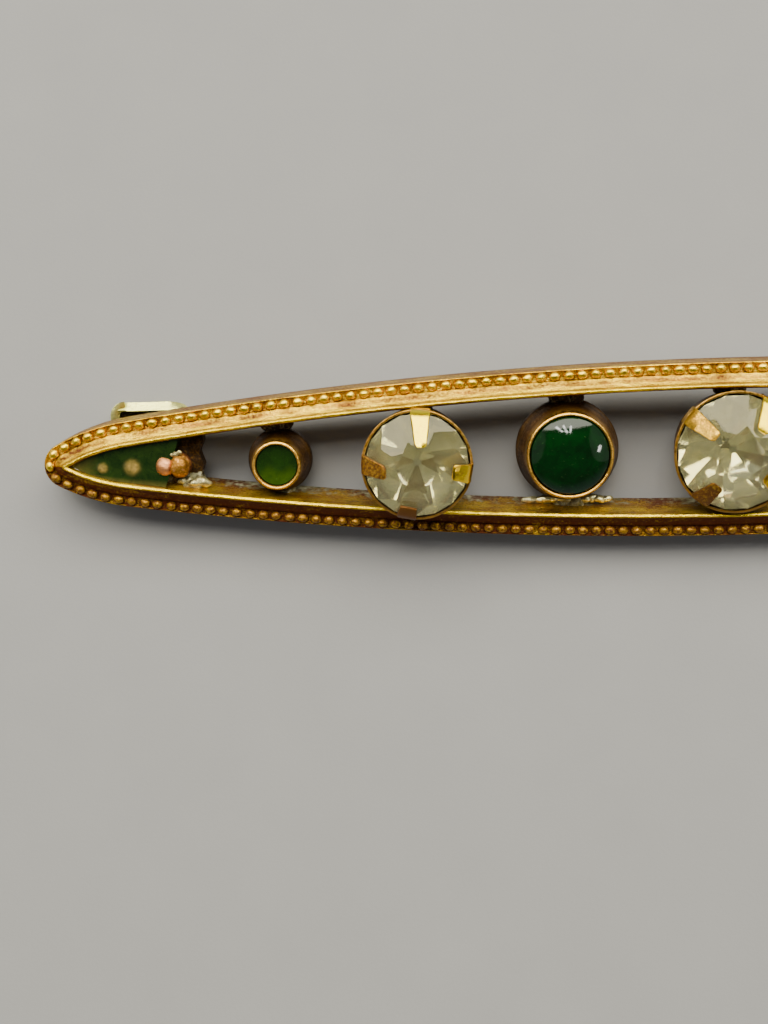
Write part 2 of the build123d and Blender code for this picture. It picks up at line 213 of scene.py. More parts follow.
# Solder stains on the lower rail's inner wall. Columns: place of the cup, reach along the wall
STAINS = ((DOT_PLACE, 3.2), (PASTE_PLACE, 4.2), (CABOCHON_PLACE, 3.4), (0.0, 3.6))
STAIN_TOP = 1.35
STAIN_FADE = 0.6
STAIN_LEAST = 0.25

# Pastes, collets and claws
SIDE_RADIUS = 2.22
SIDE_GIRDLE = 3.6
CENTRE_RADIUS = 2.5
CENTRE_GIRDLE = 2.45
GIRDLE = 0.14
TABLE_SHARE = 0.4
CROWN_ANGLE = 33.0
GIRDLE_FACET_ANGLE = 39.0
STAR_ANGLE = 20.0
PAVILION_ANGLE = 38.0
LOWER_GIRDLE_ANGLE = 43.0
CULET_RADIUS = 0.17
# How dark the foil behind a facet may be
FOIL_TARNISH = (0.0, 0.0, 0.05, 0.2, 0.5)
COLLET_WALL = 0.12
COLLET_TAPER = 0.35
COLLET_BOTTOM = 0.2
COLLET_FLOOR = 0.3
CLAW_WIDTH = 0.84
CLAW_TIP_WIDTH = 0.46
CLAW_REACH = 1.3
CLAW_THICKNESS = 0.2
CLAW_GAP = 0.085
CLAW_FOLD = 0.13
CLAW_STEPS = 11
CLAW_ARCH = 0.02
CLAW_THINNING = 0.35
# Section of a claw: places across it and up, as shares. The first few are its underside, which
# is painted in shade
CLAW_SECTION = (
    (-1, -0.6), (-0.93, -1), (0, -1), (0.93, -1), (1, -0.6),
    (1, 0.6), (0.9, 1), (0, 1), (-0.9, 1), (-1, 0.6),
)
CLAW_UNDERSIDE = 5
UNDERSIDE_SHADE = 1.5
# Claws. Columns: direction in degrees, share of CLAW_REACH, sideways bend of the tip, grime, wear.
# The grime also paints shade, most on the claws that point down, and the wear also paints a
# highlight, most on the claws that point up
SIDE_CLAWS = (
    (85.0, 0.97, -0.12, -0.4, 1.5),
    (178.0, 0.7, 0.22, 0.75, 0.0),
    (257.0, 0.35, 0.0, 1.5, 0.0),
    (350.0, 0.52, 0.04, -0.1, 0.7),
)
CENTRE_CLAWS = (
    (57.0, 0.92, -0.15, -0.4, 1.5),
    (141.0, 0.9, 0.0, 0.5, 0.3),
    (232.0, 0.7, 0.05, 0.9, 0.0),
    (318.0, 0.85, 0.05, 0.0, 0.4),
)
# Columns: name, place, radius, height of the girdle, claws. The right paste mirrors the left one
PASTES = (
    ("left", -PASTE_PLACE, SIDE_RADIUS, SIDE_GIRDLE, SIDE_CLAWS),
    ("centre", 0.0, CENTRE_RADIUS, CENTRE_GIRDLE, CENTRE_CLAWS),
    ("right", PASTE_PLACE, SIDE_RADIUS, SIDE_GIRDLE, [
        (180 - turn, reach, -bend, *paint) for turn, reach, bend, *paint in SIDE_CLAWS
    ]),
)

# Findings
FINDING_PLACE = HALF_LENGTH - 4.36
FINDING_ACROSS = 1.62
FINDING_RADIUS = 0.88
FINDING_SEAT = 0.1
CATCH_LENGTH = 3.66
CATCH_THICKNESS = 0.42
CATCH_CORNER = 0.72
CATCH_FROM = 96.0
CATCH_TO = 348.0
# Between these angles, in radians, the catch rests on the floor and isn't roughened
CATCH_REST = (4.4, 5.0)
CATCH_GRID = (48, 21)
LIP_BEVEL = 12.0
# Section of the catch's end wall: inset, height as a share
END_WALL = (
    (0.04, 0.0), (0.0, 0.05), (0.0, 0.5), (0.0, 0.95), (0.04, 1.0), (0.38, 1.0), (0.42, 0.95),
    (0.42, 0.0),
)
CORNER_STEPS = 10
HINGE_LENGTH = 2.4
HINGE_EDGE = 0.06
SOCKET_RADIUS = 0.33
SOCKET_DEPTH = 1.9
# How far the surfaces that rest on the floor stay inside the solid
SKIN = 0.012

# Floor, light and camera, in metres
FLOOR_HALF = 0.6
# The sky fades upwards: from this height to that one, from this strength to that one
SKY_FADE = (0.0, 0.42, 0.6, 0.08)
SKY_COLOUR = (0.88, 0.93, 1.0, 1.0)
# Lights, each turned to the pin. Columns: name, place, size, watts, colour, shape. The three
# small lamps stand side by side
LAMP_PLACES = (-0.09, -0.03, 0.03)
LIGHTS = (
    ("window", (-0.02, 0.26, 0.36), (1.1, 0.34), 6.4, (1.0, 0.95, 0.82), "ELLIPSE"),
    *(("lamp", (x, 0.1, 0.42), (0.014, 0.1), 0.16, (1.0, 0.97, 0.9)) for x in LAMP_PLACES),
    ("right_lamp", (0.34, -0.1, 0.31), (0.06, 0.03), 0.16, (1.0, 0.97, 0.92)),
    ("left_panel", (-0.38, 0.0, 0.26), (0.5, 0.4), 0.12, (1.0, 0.98, 0.95), "ELLIPSE"),
    ("right_panel", (0.38, 0.0, 0.28), (0.5, 0.4), 0.15, (1.0, 0.98, 0.95), "ELLIPSE"),
)
# The camera, as found from the rails and the stones in the photograph: millimetres and degrees
CAMERA_PLACE = (-12.306, -7.883, 64.747)
CAMERA_TURN = (4.7588, 3.0013, -1.0524)
CAMERA_FOCUS_PIXELS = 1400.0
IMAGE_HEIGHT_PIXELS = 1024.0
SENSOR = 36.0
CAMERA_CLIP = (0.001, 5.0)

random.seed(11)
noise.seed_set(11)


# Small helpers
def polar(angle):
    return Vector((cos(angle), sin(angle)))


def toward(turn, tilt):
    """The direction that is tilted from the z axis, and turned about it."""
    flat = sin(tilt)
    return Vector((flat * cos(turn), flat * sin(turn), cos(tilt)))


def unit(value):
    """The value, kept between 0 and 1."""
    return max(0.0, min(1.0, value))


def mirrored(pairs):
    """(point, direction) pairs on the other side of the y axis."""
    return [(Vector((-p.x, p.y)), Vector((-n.x, n.y))) for p, n in pairs]


# Outline arcs
def circles_meet(first, first_radius, second, second_radius):
    apart = (second - first).length
    along = (first_radius**2 - second_radius**2 + apart**2) / (2 * apart)
    off = sqrt(first_radius**2 - along**2)
    u = (second - first) / apart
    side = Vector((-u.y, u.x))
    return min((first + along * u + s * off * side for s in (1, -1)), key=lambda p: p.x)


SAGITTA = HALF_WIDTH - END_HALF_WIDTH
SIDE_ARC_RADIUS = (HALF_LENGTH**2 + SAGITTA**2) / (2 * SAGITTA)
SIDE_CENTRE = Vector((0.0, HALF_WIDTH - SIDE_ARC_RADIUS))
NOSE_CENTRE = Vector((HALF_LENGTH - NOSE_RADIUS, 0.0))
SHOULDER_CENTRE = circles_meet(
    SIDE_CENTRE, SIDE_ARC_RADIUS - SHOULDER_RADIUS, NOSE_CENTRE, SHOULDER_RADIUS - NOSE_RADIUS
)
SIDE_ANGLE = atan2(SHOULDER_CENTRE.y - SIDE_CENTRE.y, SHOULDER_CENTRE.x)
NOSE_ANGLE = atan2(-SHOULDER_CENTRE.y, NOSE_CENTRE.x - SHOULDER_CENTRE.x)
ARCS = (
    (NOSE_CENTRE, NOSE_RADIUS, 0.0, NOSE_ANGLE, NOSE_STEP),
    (SHOULDER_CENTRE, SHOULDER_RADIUS, NOSE_ANGLE, SIDE_ANGLE, RAIL_STEP),
    (SIDE_CENTRE, SIDE_ARC_RADIUS, SIDE_ANGLE, pi / 2, RAIL_STEP),
)


def corner_at(inset):
    """Where the outline, moved in by inset, meets the x axis."""
    if inset < NOSE_RADIUS:
        return HALF_LENGTH - inset
    return SHOULDER_CENTRE.x + sqrt((SHOULDER_RADIUS - inset) ** 2 - SHOULDER_CENTRE.y**2)


CELL_TIP = corner_at(RAIL_WIDTH)


def arc_height(centre, radius, x):
    """Height at x of the upper half of a circle."""
    return centre.y + sqrt(max(0.0, radius**2 - (x - centre.x) ** 2))


def half_width_at(x, inset=RAIL_WIDTH):
    """Half the width at x of the outline moved in by inset."""
    x = abs(x)
    junction = SIDE_CENTRE + (SIDE_ARC_RADIUS - inset) * polar(SIDE_ANGLE)
    if x < junction.x:
        return arc_height(SIDE_CENTRE, SIDE_ARC_RADIUS - inset, x)
    return max(0.0, arc_height(SHOULDER_CENTRE, SHOULDER_RADIUS - inset, x))


def upper_outline():
    """(point, outward direction) pairs along the upper outline, from the right tip to the left."""
    right = []
    for centre, radius, first, last, step in ARCS:
        count = max(4, round(radius * (last - first) / step))
        for k in range(0 if not right else 1, count + 1):
            out = polar(first + (last - first) * k / count)
            right.append((centre + radius * out, out))
    return right + mirrored(reversed(right[:-1]))


# Resting place: on the back edge of the lower rail, the catch and the hinge
FINDING_HEIGHT = FINDING_SEAT - FINDING_RADIUS
REACH = hypot(FINDING_ACROSS + HALF_WIDTH, FINDING_HEIGHT)
LEAN = atan2(-FINDING_HEIGHT, FINDING_ACROSS + HALF_WIDTH) + asin(FINDING_RADIUS / REACH)


def resting_matrix():
    """From the flat pin in millimetres to the row's frame in metres."""
    roll = Matrix.Rotation(LEAN, 4, "X")
    edge = roll @ Vector((0, -HALF_WIDTH, 0))
    lowest_y = (roll @ Vector((0, -HALF_WIDTH, WALL_HEIGHT))).y
    low, _ = cad_box
    move = Matrix.Translation((0, low.y - MM * lowest_y, -MM * edge.z))
    return move @ Matrix.Scale(MM, 4) @ roll


REST = resting_matrix()


# What is painted on the points of metal and of green pieces, for their materials. On metal the
# grime paint also carries painted shade, and the wear paint also carries painted highlights
METAL_PAINTS = ("grime", "wear", "solder")
GREEN_PAINTS = ("glow",)
SIDES = ((-1, "left"), (1, "right"))


# Pieces
def placed(name, data):
    """A new object in the scene that shows the data."""
    obj = bpy.data.objects.new(name, data)
    bpy.context.scene.collection.objects.link(obj)
    return obj


def piece(name, points, faces, material, paint=None, smooth=True):
    """A mesh piece in the row's frame. paint maps an attribute's name to a value for each point."""
    mesh = bpy.data.meshes.new(name)
    mesh.from_pydata([REST @ Vector(p) for p in points], [], faces)
    for attribute, values in (paint or {}).items():
        layer = mesh.attributes.new(attribute, "FLOAT", "POINT")
        layer.data.foreach_set("value", values)
    mesh.validate()
    mesh.polygons.foreach_set("use_smooth", [smooth] * len(mesh.polygons))
    obj = placed(name, mesh)
    mesh.materials.append(material)
    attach(obj, "root")
    return obj


class Build:
    """Points, faces and paint of one piece, gathered from several shapes."""

    def __init__(self, paints=METAL_PAINTS):
        self.points = []
        self.faces = []
        self.paint = {name: [] for name in paints}

    def add(self, points, faces, **paint):
        start = len(self.points)
        self.points += [tuple(p) for p in points]
        self.faces += [tuple(start + i for i in face) for face in faces]
        for name, values in self.paint.items():
            value = paint.get(name, 0.0)
            values += list(value) if hasattr(value, "__len__") else [value] * len(points)

    def piece(self, name, slot, material, distance=WELD):
        obj = piece(name, self.points, self.faces, material, self.paint)
        return weld(obj, distance)


def weld(obj, distance=WELD, crisp=SHARP_EDGE):
    """Join points that lie together, and keep crisp edges at larger angles than crisp."""
    work = bmesh.new()
    work.from_mesh(obj.data)
    bmesh.ops.remove_doubles(work, verts=work.verts, dist=distance)
    bmesh.ops.dissolve_degenerate(work, edges=work.edges, dist=distance)
    bmesh.ops.recalc_face_normals(work, faces=work.faces)
    work.to_mesh(obj.data)
    work.free()
    obj.data.set_sharp_from_angle(angle=crisp)
    return obj


def grid(rows, columns, close_rows=False, close_columns=False, flip=False):
    """Quads over a grid of points, kept row by row."""
    faces = []
    for i in range(rows if close_rows else rows - 1):
        below, above = i * columns, (i + 1) % rows * columns
        for j in range(columns if close_columns else columns - 1):
            k = (j + 1) % columns
            face = (below + j, below + k, above + k, above + j)
            faces.append(face[::-1] if flip else face)
    return faces


def tube(points, columns):
    """Faces round a strip whose section has this number of points, and its two end caps."""
    faces = grid(len(points) // columns, columns, close_columns=True)
    faces.append(tuple(range(columns))[::-1])
    faces.append(tuple(len(points) - columns + k for k in range(columns)))
    return faces


def rough(p, size, amount, seed=0.0):
    """A small steady offset that depends only on the place."""
    q = Vector(p) / size + Vector((seed, 1.7 * seed, -seed))
    return amount * noise.noise_vector(q)


def lathe(profile, x, y=0.0, sides=96, wobble=0.012, seed=0.0):
    """Points and faces of a shape turned about a vertical axis, from (radius, z) pairs."""
    points = []
    for k in range(sides):
        turn = 2 * pi * k / sides
        for radius, z in profile:
            p = Vector((x + radius * cos(turn), y + radius * sin(turn), z))
            points.append(p + rough(p, TURNED_DENTS, wobble * min(1.0, radius), seed))
    return points, grid(sides, len(profile), close_rows=True)


def ball(centre, radii, sides=16, rings=10, seed=0.0, lump=0.0, size=0.3):
    """Points and faces of a rounded lump."""
    points = []
    shift = Vector((seed, 0, -seed))
    for i in range(rings + 1):
        for k in range(sides):
            out = toward(2 * pi * k / sides, pi * i / rings)
            p = Vector(centre) + Vector(value * radius for value, radius in zip(out, radii))
            points.append(p + out * lump * noise.noise(p / size + shift))
    return points, grid(rings + 1, sides, close_columns=True, flip=True)


# Materials
def feed(tree, socket, value):
    """Give an input a constant, or link another node's output to it."""
    if isinstance(value, bpy.types.NodeSocket):
        tree.links.new(value, socket)
    else:
        socket.default_value = value


def feed_inputs(tree, node, **values):
    """Feed a node's inputs, which are named with _ for a space."""
    for name, value in values.items():
        feed(tree, node.inputs[name.replace("_", " ")], value)
    return node


def new_node(tree, kind, **values):
    return feed_inputs(tree, tree.nodes.new("ShaderNode" + kind), **values)


def ranged(tree, source, low, high, to_low, to_high):
    """The source's range from low to high, brought to the range from to_low to to_high."""
    node = new_node(
        tree, "MapRange", Value=source, From_Min=low, From_Max=high, To_Min=to_low, To_Max=to_high
    )
    return node.outputs["Result"]


class Shader:
    """A Principled material with helpers for its nodes. Textures are sized in millimetres."""

    def __init__(self, name):
        self.material = bpy.data.materials.new(name)
        self.material.use_nodes = True
        self.tree = self.material.node_tree
        place = self.new("TexCoord").outputs["Object"]
        scale = self.new("Mapping", Scale=(1 / MM, 1 / MM, 1 / MM), Vector=place)
        self.place = scale.outputs["Vector"]

    def new(self, kind, **values):
        return new_node(self.tree, kind, **values)

    def set(self, **values):
        """Set the material's own inputs."""
        feed_inputs(self.tree, self.tree.nodes["Principled BSDF"], **values)
        return self

    def stretched(self, x, y, z):
        return self.new("Mapping", Scale=(x, y, z), Vector=self.place).outputs["Vector"]

    def noise(self, scale, detail=4.0, roughness=0.55, vector=None, distortion=0.0):
        node = self.new(
            "TexNoise", Scale=scale, Detail=detail, Roughness=roughness, Distortion=distortion,
            Vector=vector or self.place,
        )
        return node.outputs["Fac"]

    def attribute(self, name):
        node = self.new("Attribute")
        node.attribute_name = name
        return node.outputs["Fac"]

    def range(self, source, low, high, to_low=0.0, to_high=1.0):
        return ranged(self.tree, source, low, high, to_low, to_high)

    def math(self, kind, a, b, clamp=False):
        node = self.new("Math")
        node.operation = kind
        node.use_clamp = clamp
        for socket, value in zip(node.inputs, (a, b)):
            feed(self.tree, socket, value)
        return node.outputs["Value"]

    def add(self, a, b):
        return self.math("ADD", a, b)

    def times(self, a, b, clamp=False):
        return self.math("MULTIPLY", a, b, clamp)

    def mix(self, factor, a, b):
        """A mix of two colours, each a colour or another node's output."""
        node = self.new("Mix", Factor=factor)
        node.data_type = "RGBA"
        sockets = [socket for socket in node.inputs if socket.type == "RGBA"]
        for socket, value in zip(sockets, (a, b)):
            feed(self.tree, socket, (*value, 1.0) if isinstance(value, tuple) else value)
        return next(socket for socket in node.outputs if socket.type == "RGBA")

    def bump(self, height, distance):
        node = self.new("Bump", Distance=distance * MM, Height=height)
        self.set(Normal=node.outputs["Normal"])


def gilt(
    name, clean, rosy, roughness=0.27, dirt_and_shade=1.0, worn_and_lit=(1.0, 0.78, 0.3), dark=(0.1, 0.03, 0.008),
    relief=0.018,
):
    """Worn gilding: clean and rosy patches, brown grime, grey solder and fine scratches.

    The point attributes for wear, grime and solder say where it is worn and where a highlight is
    painted, where it is grimy and where shade is painted, and where it is soldered.
    """
    s = Shader(name).set(Specular_IOR_Level=0.3)
    fine = s.noise(9.0, 6.0, 0.65)
    scratches = s.noise(2.2, 8.0, 0.7, vector=s.stretched(1.0, 9.0, 9.0))
    waves = s.noise(1.5, 3.0, vector=s.stretched(0.5, 1.7, 1.7))

    patches = s.noise(1.3, 6.0, 0.65, vector=s.stretched(0.6, 1.5, 1.5))
    colour = s.mix(s.range(patches, 0.38, 0.6), clean, rosy)
    bright = s.times(s.attribute("wear"), s.range(fine, 0.3, 0.6), clamp=True)
    colour = s.mix(bright, colour, worn_and_lit)

    spread = s.add(s.attribute("grime"), s.range(fine, 0.3, 0.7, -0.4, 0.3))
    grime = s.times(s.range(spread, 0.1, 0.85), dirt_and_shade, clamp=True)
    colour = s.mix(grime, colour, dark)
    spots = s.range(s.noise(5.5, 5.0, 0.7), 0.56, 0.72)
    colour = s.mix(s.times(spots, 0.5 * dirt_and_shade), colour, (0.16, 0.055, 0.012))

    ragged = s.range(s.noise(3.2, 4.0, 0.6), 0.35, 0.65, -0.35, 0.25)
    solder = s.range(s.add(s.attribute("solder"), ragged), 0.3, 0.7)
    shades = s.range(s.noise(2.4, 4.0, 0.6), 0.4, 0.62)
    grey = s.mix(shades, (0.18, 0.165, 0.07), (0.56, 0.54, 0.35))
    s.set(Base_Color=s.mix(solder, colour, grey))

    dull = s.math("MAXIMUM", grime, s.times(solder, 0.6))
    s.set(Metallic=s.range(dull, 0.0, 1.0, 1.0, 0.55))
    scuffed = s.range(scratches, 0.3, 0.7, roughness - 0.06, roughness + 0.1)
    s.set(Roughness=s.add(scuffed, s.times(dull, 0.25)))

    height = s.add(s.times(scratches, 0.5), s.times(fine, 0.6))
    height = s.add(height, s.times(s.noise(2.4, 3.0), 0.8))
    s.bump(s.add(height, s.times(waves, 1.4)), relief)
    return s.material


def green_glass(name, deep, bright, glow=(0.05, 0.1, 0.005)):
    """Glossy green glass or enamel, with soft clouds and small pits.

    The point attribute glow says where light comes back through it.
    """
    s = Shader(name).set(Roughness=0.06, IOR=1.5)
    clouds = s.range(s.noise(1.6, 4.0, 0.6, distortion=0.6), 0.35, 0.7)
    colour = s.mix(clouds, deep, bright)
    mottle = s.range(s.noise(4.5, 5.0, 0.65, distortion=0.4), 0.3, 0.7, 0.45, 1.1)
    colour = s.mix(s.times(s.attribute("glow"), mottle, clamp=True), colour, glow)
    specks = s.range(s.noise(11.0, 3.0), 0.68, 0.78)
    s.set(Base_Color=s.mix(s.times(specks, 0.45), colour, (0.1, 0.22, 0.06)))
    s.bump(s.add(s.noise(0.9, 2.0), s.times(s.noise(14.0, 3.0), 0.12)), 0.01)
    return s.material


def paste_glass():
    """Clear, slightly yellow glass with a little surface wear."""
    s = Shader("paste_glass").set(
        Base_Color=(0.98, 0.96, 0.7, 1.0), Roughness=0.02, IOR=1.56, Transmission_Weight=1.0,
        Specular_Tint=(1.0, 0.94, 0.74, 1.0),
    )
    s.bump(s.add(s.noise(1.5, 2.0), s.times(s.noise(18.0, 4.0, 0.7), 0.12)), 0.0025)
    return s.material


def paste_foil():
    """The dull silvery foil that lines the back of a paste, tarnished facet by facet."""
    s = Shader("paste_foil").set(Metallic=0.8, Roughness=0.08)
    stains = s.range(s.noise(1.4, 5.0, 0.65), 0.5, 0.75)
    colour = s.mix(stains, (1.0, 0.97, 0.72), (0.9, 0.85, 0.5))
    s.set(Base_Color=s.mix(s.attribute("tarnish"), colour, (0.3, 0.28, 0.15)))
    s.bump(s.noise(5.0, 4.0), 0.002)
    return s.material


def pale_floor():
    s = Shader("pale_floor").set(Roughness=0.75)
    s.set(Base_Color=s.mix(s.noise(0.25, 3.0), (0.28, 0.28, 0.28), (0.31, 0.31, 0.305)))
    s.bump(s.noise(6.0, 4.0), 0.008)
    return s.material


GILT = gilt(
    "gilt_brass", (1.0, 0.67, 0.025), (0.52, 0.26, 0.025),
    worn_and_lit=(1.0, 0.74, 0.03), dark=(0.11, 0.025, 0.004), relief=0.04,
)
BEAD_GILT = gilt(
    "bead_gilt", (1.0, 0.58, 0.02), (0.8, 0.4, 0.03), roughness=0.3,
    worn_and_lit=(1.0, 0.72, 0.04), relief=0.008,
)
CUP_GILT = gilt(
    "cup_gilt", (0.36, 0.16, 0.018), (0.14, 0.058, 0.009), roughness=0.3,
    worn_and_lit=(1.0, 0.57, 0.1), dark=(0.03, 0.014, 0.003),
)
CLAW_GILT = gilt(
    "claw_gilt", (1.0, 0.6, 0.05), (0.85, 0.42, 0.04), roughness=0.2, dirt_and_shade=0.94,
    worn_and_lit=(1.0, 0.76, 0.01), relief=0.003,
)
# Its near-black dark colour paints the shade in the hollow of the catch
CATCH_METAL = gilt(
    "catch_metal", (1.0, 0.98, 0.3), (0.98, 0.94, 0.28), roughness=0.3,
    worn_and_lit=(1.0, 0.99, 0.36), dark=(0.02, 0.015, 0.008),
)
COPPER = gilt(
    "bare_copper", (0.88, 0.4, 0.17), (0.7, 0.3, 0.1), roughness=0.45,
    worn_and_lit=(0.52, 0.25, 0.03), relief=0.03,
)
EMERALD = green_glass("emerald_glass", (0.0003, 0.011, 0.001), (0.0006, 0.026, 0.002))
DOT_GREEN = green_glass(
    "dot_green", (0.007, 0.024, 0.002), (0.011, 0.038, 0.003), glow=(0.032, 0.066, 0.004)
)
ENAMEL = green_glass(
    "tip_enamel", (0.006, 0.019, 0.003), (0.018, 0.04, 0.005), glow=(0.36, 0.24, 0.06)
)
PASTE = paste_glass()
FOIL = paste_foil()
# Its dark colour paints shade on the lumps by the upper rail
SOLDER = gilt(
    "solder", (0.8, 0.76, 0.4), (0.55, 0.46, 0.2), roughness=0.34,
    worn_and_lit=(1.0, 0.94, 0.5), dark=(0.05, 0.028, 0.01), relief=0.012,
)


# Rails
def rails():
    """Both rails as one closed loop of the section, mitred where they meet on the x axis."""
    build = Build()
    outline = upper_outline()
    for side in (1, -1):
        points, grime, wear, solder = [], [], [], []
        for point, out in outline:
            for inset, z, *paints in RAIL_SECTION:
                # Grime and wear here carry painted shade and painted highlights as well as real
                # grime and wear
                dirt_and_shade, shine = paints[:2] if side > 0 else paints[2:]
                p = point - inset * out
                if p.y < 0:
                    p = Vector((copysign(corner_at(inset), point.x), 0.0))
                p = Vector((p.x, side * p.y, z))
                if inset > SMOOTH_INSET:
                    for dents in RAIL_DENTS:
                        p += rough(p, *dents)
                points.append(p)
                grime.append(min(1.0, max(LEAST_GRIME_AND_SHADE, dirt_and_shade + patches_at(p, inset))))
                wear.append(shine)
                solder.append(residue_at(p) if inset > INNER_WALL_INSET else 0.0)
        faces = grid(len(outline), len(RAIL_SECTION), close_columns=True, flip=side < 0)
        build.add(points, faces, grime=grime, wear=wear, solder=solder)
    return build.piece("rails", "gilt_brass", GILT)


def patches_at(p, inset):
    """How much more grime than its section says a place on a rail has."""
    patch = PATCH_GRIME * noise.noise(p / PATCH_SIZE + PATCH_SHIFT)
    along, across, up = STREAK_SIZES
    patch += STREAK_GRIME * noise.noise(Vector((p.x / along, p.y / across, p.z / up)))
    return EVEN_SHARE * patch if inset < EVEN_INSET else patch


def residue_at(p):
    """How much grey solder lies on the lower rail's inner wall: more at depth, near the cups."""
    if p.y > 0:
        return 0.0
    near = max(0.0, *(1 - abs(abs(p.x) - place) / reach for place, reach in STAINS))
    deep = unit((STAIN_TOP - p.z) / STAIN_FADE)
    return deep * min(1.0, STAIN_LEAST + (1 - STAIN_LEAST) * near)


def bead_line():
    """Points at even steps along the upper bead line, from the right tip to the left."""
    arcs = [(c, r - BEAD_INSET, a, b) for c, r, a, b, _ in ARCS]
    lengths = [r * (b - a) for _, r, a, b in arcs]
    count = round(sum(lengths) / BEAD_PITCH)
    quarter = []
    for k in range(count + 1):
        s = sum(lengths) * k / count
        for (centre, radius, first, _), length in zip(arcs, lengths):
            if s <= length + 1e-9:
                break
            s -= length
        out = polar(first + s / radius)
        quarter.append((centre + radius * out, out))
    return quarter + mirrored(quarter[:-1])


def beads():
    """The bead rows, each bead a little different, duller along the lower rail as painted shade."""
    build = Build()
    for p, out in bead_line():
        for side in (1, -1) if p.y > 1e-6 else (1,):
            size = random.uniform(*BEAD_SIZES)
            radii = [size * radius * random.uniform(*BEAD_PROPORTIONS) for radius in BEAD_RADII]
            shift = random.uniform(-BEAD_SHIFT, BEAD_SHIFT)
            centre = Vector((p.x + shift, side * p.y, BEAD_HEIGHT))
            turn = Matrix.Rotation(atan2(side * out.x, -out.y), 3, "Z")
            points, faces = ball((0, 0, 0), radii, seed=p.x, lump=0.03, size=0.2)
            points = [turn @ q for q in points]
            # Each bead's skirt is painted in shade, and the tops of the upper beads get a painted
            # highlight
            low, shaded_skirt, level, shine = UPPER_BEADS if side > 0 else LOWER_BEADS
            grime = [low + shaded_skirt * unit((level - q.z) / BEAD_SKIRT) for q in points]
            wear = [shine if q.z > BEAD_TOP else BEAD_SIDE_WEAR for q in points]
            build.add([centre + q for q in points], faces, grime=grime, wear=wear)
    return build.piece("bead_rows", "gilt_brass", BEAD_GILT)


# Tip cells
def across_table(table, share):
    """The set-back of a broken end at a place across, read between the rows of its table."""
    for (a, back_a), (b, back_b) in zip(table, table[1:]):
        if share <= b:
            return back_a + (back_b - back_a) * (share - a) / (b - a)
    return table[-1][1]


def cell_slab(length, depth, table, inset, low, top_at, side, flare=0.0):
    """A slab that fills a tip cell from its corner to its broken end, narrower below by flare."""
    rows, columns = SLAB_GRID
    tip = corner_at(inset)
    points = []
    for level in (0, 1):
        for i in range(rows):
            along = (i / (rows - 1)) ** SLAB_CROWDING
            for j in range(columns):
                v = 2 * j / (columns - 1) - 1
                start = CELL_TIP - length
                for _ in range(2):
                    y = v * half_width_at(start, inset)
                    start = CELL_TIP - length + depth * across_table(table, y / HALF_WIDTH)
                x = tip + (start - tip) * along
                y = v * max(0.0, half_width_at(x, inset) - (0 if level else flare))
                points.append(Vector((side * x, y, top_at(x, y) if level else low)))
    top = rows * columns
    faces = [tuple(top + k for k in face) for face in grid(rows, columns)]
    faces += grid(rows, columns, flip=True)
    for i in range(rows - 1):
        a, b = i * columns, (i + 1) * columns
        faces.append((a, b, top + b, top + a))
        a, b = a + columns - 1, b + columns - 1
        faces.append((b, a, top + a, top + b))
    for a in range(top - columns, top - 1):
        faces.append((a, a + 1, top + a + 1, top + a))
    return points, faces if side > 0 else [face[::-1] for face in faces]


def boss_place(row):
    return CELL_TIP - row[0] * PLATE_LENGTH


def from_boss(row, x, y):
    """How far a place is from a boss's axis, as a share of its radius."""
    return hypot(x - boss_place(row), y + BOSS_DROP) / (row[1] * BOSS_RADIUS)


def enamel_top(x, y):
    """The enamel's surface: it dips between the rails and rises over the two small bosses."""
    half = max(0.05, half_width_at(x))
    z = ENAMEL_TOP - ENAMEL_DIP * (1 - (y / half) ** 2)
    z += ENAMEL_RIPPLE * noise.noise(Vector((x, y, 0)) / 0.7)
    for row in BOSSES[:2]:
        z += ENAMEL_RISE * exp(-((from_boss(row, x, y) / 1.1) ** 2))
    return z


def boss_glow(p):
    """Where the small bosses show through the enamel, and where it is thin."""
    glow = 0.0
    for row in BOSSES[:2]:
        mottle = 0.85 + 0.5 * noise.noise(p / 0.12)
        glow = max(glow, mottle * exp(-((from_boss(row, abs(p.x), p.y) / 0.95) ** 4)))
    tip = 0.3 * max(0.0, 1 - (CELL_TIP - abs(p.x)) / 1.4)
    half = max(0.05, half_width_at(p.x))
    thin = 0.25 * max(0.0, (-p.y / half - 0.7) / 0.3)
    return min(1.0, max(glow, tip, thin))


def plate_top(x, y):
    return PLATE_TOP + 0.08 * noise.noise(Vector((x, y, 4)) / 0.4)


def tip_cells():
    """The plates of the tip cells, and the enamel on them."""
    plate = Build()
    for side, name in SIDES:
        points, faces = cell_slab(
            PLATE_LENGTH, BREAK_DEPTH, PLATE_BREAK, RAIL_WIDTH, PLATE_BOTTOM, plate_top, side
        )
        wear = [noise.noise(p / 0.3) for p in points]
        solder = [0.55 + 0.5 * noise.noise(p / 0.5) if p.y < -0.5 else 0.0 for p in points]
        plate.add(points, faces, grime=0.85, wear=wear, solder=solder)
        points, faces = cell_slab(
            ENAMEL_LENGTH, CHIP_DEPTH, ENAMEL_BREAK, RAIL_WIDTH + ENAMEL_GAP,
            PLATE_TOP + ENAMEL_GAP, enamel_top, side, flare=ENAMEL_FLARE,
        )
        enamel = Build(GREEN_PAINTS)
        enamel.add(points, faces, glow=[boss_glow(p) for p in points])
        obj = enamel.piece("enamel_" + name, "tip_enamel", ENAMEL)
        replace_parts(obj, "tip_enamel_" + name)
    plate.piece("tip_plates", "gilt_brass", CUP_GILT)


